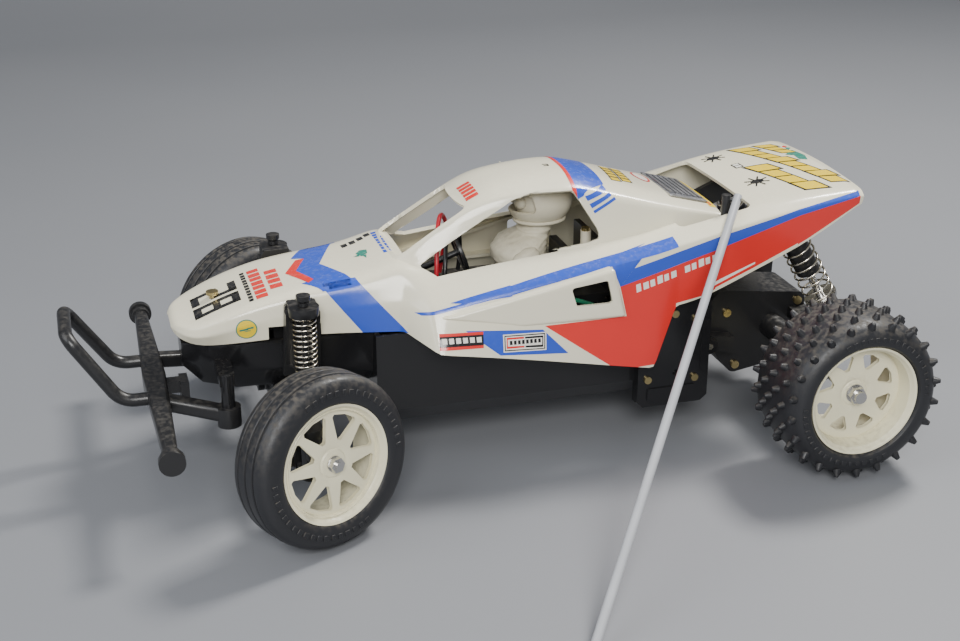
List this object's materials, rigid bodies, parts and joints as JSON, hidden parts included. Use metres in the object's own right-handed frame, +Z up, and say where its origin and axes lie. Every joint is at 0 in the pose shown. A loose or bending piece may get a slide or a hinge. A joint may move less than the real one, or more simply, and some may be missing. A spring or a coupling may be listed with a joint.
{
  "type": "rc buggy",
  "caption": "Off-road radio-controlled buggy with open-cockpit body, tub chassis, sprung swing arms, trailing rear axle, spiked rear tyres, hooped bumper and folding antenna tube.",
  "frame": {"origin": "on the ground under the four tyres, on the centreline, midway between the axles", "axes": "+X forward, +Y to the driver's left, +Z up"},
  "size_m": [0.3998, 0.3265, 0.1365],
  "materials": {
    "body_cream": "aged cream styrene, glossy, with colour decals",
    "figure_cream": "unpainted cream plastic, slightly dusty",
    "chassis_black": "moulded black plastic, semi-gloss, dusty",
    "rim_cream": "cream nylon, dusty in the corners",
    "tyre_rubber": "black rubber, dusty tread",
    "spring_steel": "bright spring wire",
    "bright_steel": "machined steel",
    "plated_screw": "yellow zinc plated cross-head screws",
    "louvre_metal": "bright metal louvre",
    "electronics_black": "fine textured black cases",
    "battery_wrap": "shrink wrap",
    "lead_red": "vinyl insulation",
    "lead_black": "vinyl insulation",
    "lead_green": "vinyl insulation",
    "antenna_grey": "translucent grey tube",
    "gear_nylon": "natural nylon"
  },
  "bodies": {
    "chassis": {"chassis_tub": "chassis_black", "front_bumper": "chassis_black", "front_towers": "chassis_black", "body_shell": "body_cream", "louvre_panel": "louvre_metal", "driver_torso": "figure_cream", "driver_helmet": "figure_cream", "cockpit_tray": "chassis_black", "body_post": "figure_cream", "side_plate_left": "chassis_black", "side_plate_right": "chassis_black", "steering_servo": "electronics_black", "receiver": "electronics_black", "battery_pack": "battery_wrap", "speed_controller": "electronics_black", "power_switch": "electronics_black", "rear_tower": "chassis_black", "chassis_screws": "plated_screw", "suspension_pins": "bright_steel", "battery_lead_red": "lead_red", "battery_lead_black": "lead_black", "receiver_lead": "lead_green", "front_spring_left": "spring_steel", "front_spring_right": "spring_steel"},
    "switch_slider": {"switch_slider": "electronics_black"},
    "antenna": {"antenna_tube": "antenna_grey"},
    "servo_horn": {"servo_horn": "chassis_black"},
    "rear_axle": {"gearbox_half_left": "chassis_black", "gearbox_half_right": "chassis_black", "gearbox_screws": "plated_screw", "motor": "bright_steel"},
    "drive_gear": {"drive_gear": "gear_nylon"},
    "counter_gear": {"counter_gear": "gear_nylon"},
    "motor_pinion": {"motor_pinion": "bright_steel"},
    "front_arm_left": {"front_arm_left": "chassis_black"},
    "knuckle_left": {"upright_left": "chassis_black", "front_stub_axle_left": "bright_steel"},
    "front_wheel_left": {"front_rim_left": "rim_cream", "front_tyre_left": "tyre_rubber"},
    "front_damper_left": {"front_damper_rod_left": "chassis_black"},
    "tie_rod_left": {"tie_rod_left": "chassis_black"},
    "rear_wheel_left": {"rear_half_shaft_left": "bright_steel", "rear_rim_left": "rim_cream", "rear_tyre_left": "tyre_rubber"},
    "rear_damper_left": {"rear_damper_cylinder_left": "chassis_black", "rear_spring_left": "spring_steel"},
    "rear_damper_shaft_left": {"rear_damper_shaft_left": "bright_steel"},
    "front_arm_right": {"front_arm_right": "chassis_black"},
    "knuckle_right": {"upright_right": "chassis_black", "front_stub_axle_right": "bright_steel"},
    "front_wheel_right": {"front_rim_right": "rim_cream", "front_tyre_right": "tyre_rubber"},
    "front_damper_right": {"front_damper_rod_right": "chassis_black"},
    "tie_rod_right": {"tie_rod_right": "chassis_black"},
    "rear_wheel_right": {"rear_half_shaft_right": "bright_steel", "rear_rim_right": "rim_cream", "rear_tyre_right": "tyre_rubber"},
    "rear_damper_right": {"rear_damper_cylinder_right": "chassis_black", "rear_spring_right": "spring_steel"},
    "rear_damper_shaft_right": {"rear_damper_shaft_right": "bright_steel"}
  },
  "joints": [
    {"name": "front_arm_left_bump", "type": "hinge", "parent": "chassis", "child": "front_arm_left", "pos_m": [0.128, 0.016, 0.03], "axis": [1, 0, 0], "range_deg": [0, 10], "stiffness_Nm_per_rad": 0.8, "springref_deg": -24.06},
    {"name": "steer_left", "type": "hinge", "parent": "front_arm_left", "child": "knuckle_left", "pos_m": [0.128, 0.083, 0.0391], "axis": [0, 0, 1], "range_deg": [-49.8, 0]},
    {"name": "front_wheel_left_spin", "type": "hinge", "parent": "knuckle_left", "child": "front_wheel_left", "pos_m": [0.128, 0.083, 0.0391], "axis": [-0.4194, 0.9036, 0.0872], "continuous": true},
    {"name": "front_damper_left_slide", "type": "slide", "parent": "chassis", "child": "front_damper_left", "axis": [0, 0, 1], "range_m": [0, 0.0048], "deforming": ["front_spring_left"]},
    {"name": "tie_rod_left_slide", "type": "slide", "parent": "front_arm_left", "child": "tie_rod_left", "axis": [0, 1, 0], "range_m": [0, 0.01273]},
    {"name": "front_arm_right_bump", "type": "hinge", "parent": "chassis", "child": "front_arm_right", "pos_m": [0.128, -0.016, 0.03], "axis": [-1, 0, 0], "range_deg": [0, 10], "stiffness_Nm_per_rad": 0.8, "springref_deg": -24.06},
    {"name": "steer_right", "type": "hinge", "parent": "front_arm_right", "child": "knuckle_right", "pos_m": [0.128, -0.083, 0.0391], "axis": [0, 0, 1], "range_deg": [-49.8, 0]},
    {"name": "front_wheel_right_spin", "type": "hinge", "parent": "knuckle_right", "child": "front_wheel_right", "pos_m": [0.128, -0.083, 0.0391], "axis": [-0.4194, 0.9036, -0.0872], "continuous": true},
    {"name": "front_damper_right_slide", "type": "slide", "parent": "chassis", "child": "front_damper_right", "axis": [0, 0, 1], "range_m": [0, 0.0048], "deforming": ["front_spring_right"]},
    {"name": "tie_rod_right_slide", "type": "slide", "parent": "front_arm_right", "child": "tie_rod_right", "axis": [0, 1, 0], "range_m": [0, 0.01273]},
    {"name": "servo_horn_turn", "type": "hinge", "parent": "chassis", "child": "servo_horn", "pos_m": [0.098, 0, 0.038], "axis": [0, 0, 1], "range_deg": [0, 50]},
    {"name": "rear_axle_bump", "type": "hinge", "parent": "chassis", "child": "rear_axle", "pos_m": [-0.088, 0, 0.04], "axis": [0, 1, 0], "range_deg": [0, 12], "stiffness_Nm_per_rad": 1.4, "springref_deg": -28.65},
    {"name": "rear_damper_left_swing", "type": "hinge", "parent": "chassis", "child": "rear_damper_left", "pos_m": [-0.1185, 0.037, 0.108], "axis": [0, 1, 0], "range_deg": [0, 1.74]},
    {"name": "rear_damper_left_stroke", "type": "slide", "parent": "rear_damper_left", "child": "rear_damper_shaft_left", "axis": [0.4961, 0, 0.8682], "range_m": [0, 0.01297], "deforming": ["rear_spring_left"]},
    {"name": "rear_damper_right_swing", "type": "hinge", "parent": "chassis", "child": "rear_damper_right", "pos_m": [-0.1185, -0.037, 0.108], "axis": [0, 1, 0], "range_deg": [0, 1.74]},
    {"name": "rear_damper_right_stroke", "type": "slide", "parent": "rear_damper_right", "child": "rear_damper_shaft_right", "axis": [0.4961, 0, 0.8682], "range_m": [0, 0.01297], "deforming": ["rear_spring_right"]},
    {"name": "drive_spin", "type": "hinge", "parent": "rear_axle", "child": "drive_gear", "pos_m": [-0.128, 0, 0.0424], "axis": [0, 1, 0], "continuous": true},
    {"name": "counter_spin", "type": "hinge", "parent": "rear_axle", "child": "counter_gear", "pos_m": [-0.10806, 0, 0.04073], "axis": [0, 1, 0], "continuous": true},
    {"name": "pinion_spin", "type": "hinge", "parent": "rear_axle", "child": "motor_pinion", "pos_m": [-0.101, 0, 0.056], "axis": [0, 1, 0], "continuous": true},
    {"name": "rear_wheel_left_spin", "type": "hinge", "parent": "rear_axle", "child": "rear_wheel_left", "pos_m": [-0.128, 0.0925, 0.0424], "axis": [0, 1, 0], "continuous": true},
    {"name": "rear_wheel_right_spin", "type": "hinge", "parent": "rear_axle", "child": "rear_wheel_right", "pos_m": [-0.128, -0.0925, 0.0424], "axis": [0, 1, 0], "continuous": true},
    {"name": "antenna_raise", "type": "hinge", "parent": "chassis", "child": "antenna", "pos_m": [-0.09139, 0.03879, 0.12154], "axis": [0.7861, -0.6181, 0], "range_deg": [0, 118]},
    {"name": "switch_slide", "type": "slide", "parent": "chassis", "child": "switch_slider", "axis": [1, 0, 0], "range_m": [0, 0.004]}
  ],
  "couplings": [
    {"joint": "front_damper_left_slide", "follows": "front_arm_left_bump", "m_per_rad": 0.026366},
    {"joint": "tie_rod_left_slide", "follows": "steer_left", "m_per_rad": -0.014532},
    {"joint": "front_damper_right_slide", "follows": "front_arm_right_bump", "m_per_rad": 0.026366},
    {"joint": "tie_rod_right_slide", "follows": "steer_left", "m_per_rad": -0.014532},
    {"joint": "steer_right", "follows": "steer_left", "ratio": 1},
    {"joint": "servo_horn_turn", "follows": "steer_left", "ratio": -1},
    {"joint": "rear_damper_left_swing", "follows": "rear_axle_bump", "ratio": 0.14095},
    {"joint": "rear_damper_left_stroke", "follows": "rear_axle_bump", "m_per_rad": 0.060996},
    {"joint": "rear_damper_right_swing", "follows": "rear_axle_bump", "ratio": 0.14095},
    {"joint": "rear_damper_right_stroke", "follows": "rear_axle_bump", "m_per_rad": 0.060996},
    {"joint": "counter_spin", "follows": "drive_spin", "ratio": -2.5714},
    {"joint": "pinion_spin", "follows": "drive_spin", "ratio": 8.2286},
    {"joint": "rear_wheel_left_spin", "follows": "drive_spin", "ratio": 1},
    {"joint": "rear_wheel_right_spin", "follows": "drive_spin", "ratio": 1}
  ]
}
